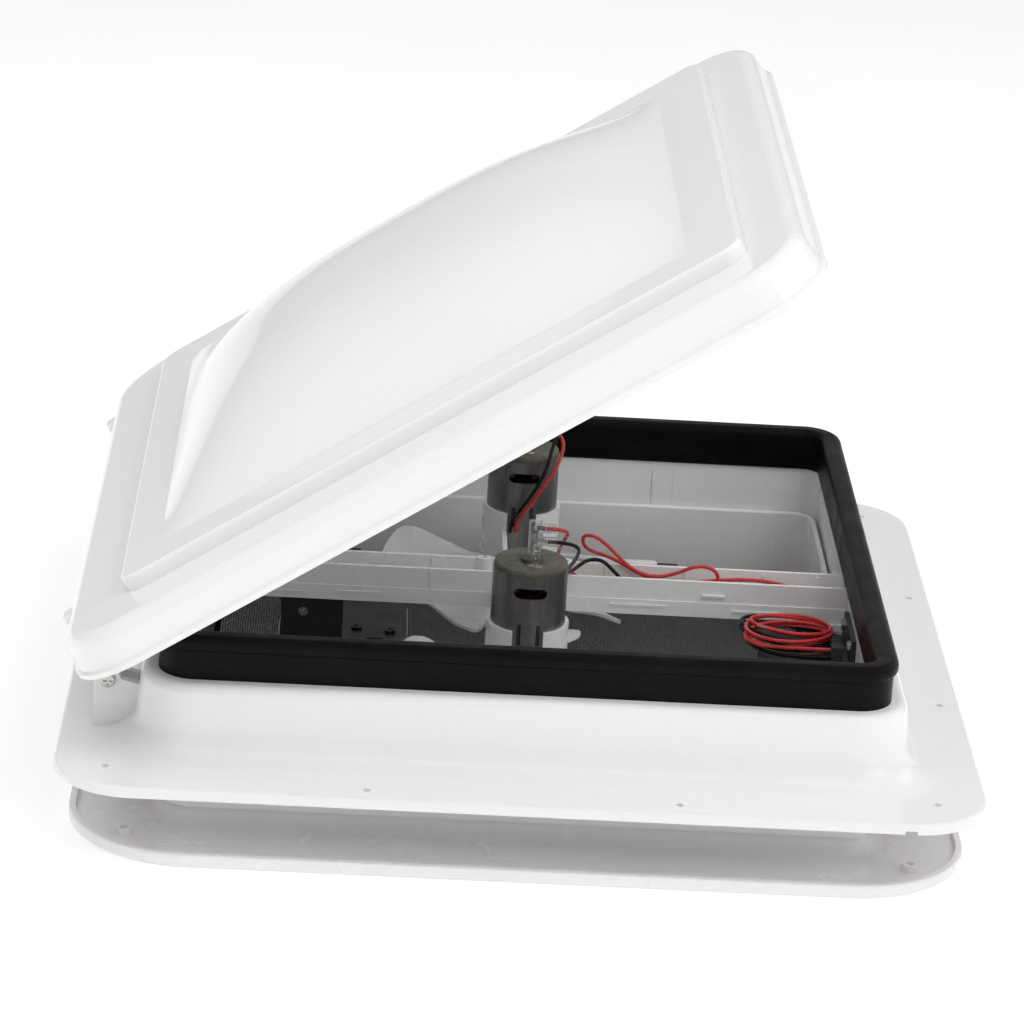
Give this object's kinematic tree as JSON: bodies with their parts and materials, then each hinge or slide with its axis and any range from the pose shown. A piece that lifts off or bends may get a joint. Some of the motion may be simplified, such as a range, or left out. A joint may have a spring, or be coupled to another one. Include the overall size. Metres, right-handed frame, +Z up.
{
  "type": "roof vent cover",
  "caption": "Square caravan roof vent: hinged domed lid on a screw-down flange with gasket, twin fan motors on a cross beam, insect screen, lid operator and ceiling trim.",
  "frame": {"origin": "middle of the vent opening on the roof skin, the plane the flange is screwed down to", "axes": "+Z up out of the roof, +X from the hinge side to the opening side, +Y across"},
  "size_m": [0.4562, 0.456, 0.3192],
  "materials": {
    "flange_white": "gloss moulded, slightly warm white",
    "lid_white": "gloss milky translucent moulding",
    "trim_white": "gloss moulded white",
    "beam_white": "semi-gloss moulded white",
    "arm_white": "semi-gloss moulded white",
    "fan_white": "translucent white blades",
    "knob_white": "semi-gloss moulded white",
    "gasket_rubber": "satin black rubber, lightly scuffed",
    "can_steel": "zinc plated, mottled",
    "armature_steel": "laminated steel with copper winding",
    "shaft_steel": "turned steel",
    "screw_steel": "zinc plated",
    "screw_black": "black oxide",
    "cap_nylon": "greenish grey nylon",
    "roller_nylon": "natural nylon",
    "tab_brass": "tinned brass",
    "magnet_black": "sintered ferrite",
    "sleeve_clear": "clear flexible vinyl",
    "operator_black": "fine textured black moulding",
    "rocker_black": "gloss black",
    "screen_black": "fine woven black mesh",
    "wire_red": "satin red insulation",
    "wire_black": "satin black insulation"
  },
  "bodies": {
    "base": {"roof_flange": "flange_white", "neck_gasket": "gasket_rubber", "hinge_screws": "screw_steel", "garnish_frame": "trim_white", "fan_beam": "beam_white", "beam_screws": "screw_steel", "motor_front_can": "can_steel", "motor_front_cap": "cap_nylon", "motor_front_tabs": "tab_brass", "motor_front_magnets": "magnet_black", "motor_rear_can": "can_steel", "motor_rear_cap": "cap_nylon", "motor_rear_tabs": "tab_brass", "motor_rear_magnets": "magnet_black", "terminal_sleeves_front": "sleeve_clear", "terminal_sleeves_rear": "sleeve_clear", "rear_splice": "sleeve_clear", "screen_frame": "operator_black", "insect_screen": "screen_black", "screen_clips": "operator_black", "operator_housing": "operator_black", "operator_cover": "operator_black", "operator_screws": "screw_black", "arm_pivot_pin": "screw_steel", "switch_body": "operator_black", "junction_box": "operator_black", "junction_cover": "operator_black", "junction_screws": "screw_steel", "lead_front_red": "wire_red", "lead_front_black": "wire_black", "lead_rear_red": "wire_red", "lead_rear_black": "wire_black", "supply_coil_black": "wire_black", "supply_coil_red": "wire_red", "supply_lead_black": "wire_black", "supply_lead_red": "wire_red"},
    "lid": {"lid_dome": "lid_white", "lid_rail": "arm_white", "lid_rail_screws": "screw_steel"},
    "arm": {"lift_arm": "arm_white", "roller_pin": "screw_steel"},
    "roller": {"arm_roller": "roller_nylon"},
    "crank": {"worm_shaft": "shaft_steel", "knob": "knob_white", "knob_screw": "screw_steel"},
    "fan_a": {"fan_front": "fan_white", "motor_front_armature": "armature_steel"},
    "fan_b": {"fan_rear": "fan_white", "motor_rear_armature": "armature_steel"},
    "rocker": {"switch_rocker": "rocker_black"}
  },
  "joints": [
    {"name": "lid_hinge", "type": "hinge", "parent": "base", "child": "lid", "pos_m": [-0.205, 0, 0.0299], "axis": [0, -1, 0], "range_deg": [-33.06, 18.5]},
    {"name": "arm_turn", "type": "hinge", "parent": "base", "child": "arm", "pos_m": [-0.113, 0.0185, 0.005], "axis": [0, -1, 0], "range_deg": [-66.2, 37.1]},
    {"name": "roller_spin", "type": "hinge", "parent": "arm", "child": "roller", "pos_m": [-0.09853, 0.0145, 0.0992], "axis": [0, 1, 0], "continuous": true},
    {"name": "crank_turn", "type": "hinge", "parent": "base", "child": "crank", "pos_m": [-0.0995, 0.026, -0.03], "axis": [0, 0, 1], "range_deg": [-1590, 890]},
    {"name": "fan_front_spin", "type": "hinge", "parent": "base", "child": "fan_a", "pos_m": [0.002, -0.0855, 0], "axis": [0, 0, 1], "continuous": true},
    {"name": "fan_rear_spin", "type": "hinge", "parent": "base", "child": "fan_b", "pos_m": [0.002, 0.0855, 0], "axis": [0, 0, 1], "continuous": true},
    {"name": "switch_rock", "type": "hinge", "parent": "base", "child": "rocker", "pos_m": [-0.076, 0.062, -0.024], "axis": [1, 0, 0], "range_deg": [0, 18]}
  ],
  "couplings": [
    {"joint": "arm_turn", "follows": "lid_hinge", "ratio": 2},
    {"joint": "crank_turn", "follows": "lid_hinge", "ratio": 48}
  ]
}
